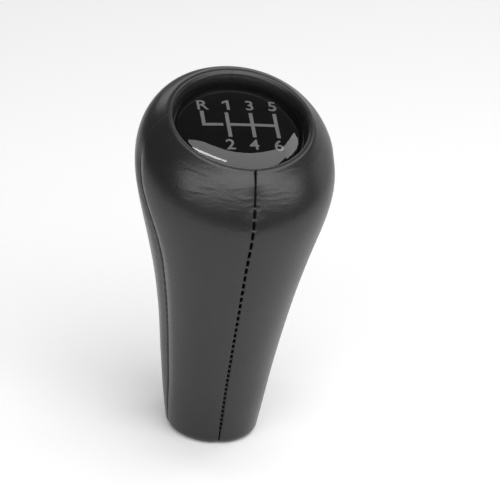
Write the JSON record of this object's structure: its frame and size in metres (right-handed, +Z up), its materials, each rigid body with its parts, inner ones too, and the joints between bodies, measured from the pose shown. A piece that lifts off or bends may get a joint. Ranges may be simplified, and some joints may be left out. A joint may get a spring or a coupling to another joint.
{
  "type": "gear shift knob",
  "caption": "Push-on gear shift knob: a tapered grip in sewn black leather that swells to a rounded head, with a domed shift-pattern badge facing the driver.",
  "frame": {"origin": "centre of the lever socket's mouth, on the plane that the knob stands on", "axes": "+Z up along the lever socket, +Y to the front of the car, -Y to the driver, +X to the right"},
  "size_m": [0.048, 0.049, 0.0885],
  "materials": {
    "leather": "fine-grained black leather with a soft sheen",
    "core_plastic": "moulded, matt",
    "socket_plastic": "moulded, satin",
    "spring_steel": "drawn wire",
    "ring_plastic": "moulded, matt",
    "carrier_plastic": "moulded, satin",
    "badge_print": "black print, glossy",
    "lens_clear": "clear domed resin"
  },
  "bodies": {
    "root": {"leather_panel_rear_left": "leather", "leather_panel_rear_right": "leather", "leather_panel_front_left": "leather", "leather_panel_front_right": "leather", "core_left_half": "core_plastic", "core_right_half": "core_plastic", "lever_socket": "socket_plastic", "retaining_ring": "spring_steel", "base_ring": "ring_plastic", "badge_carrier": "carrier_plastic", "badge_plate": "badge_print", "badge_lens": "lens_clear"}
  },
  "joints": []
}
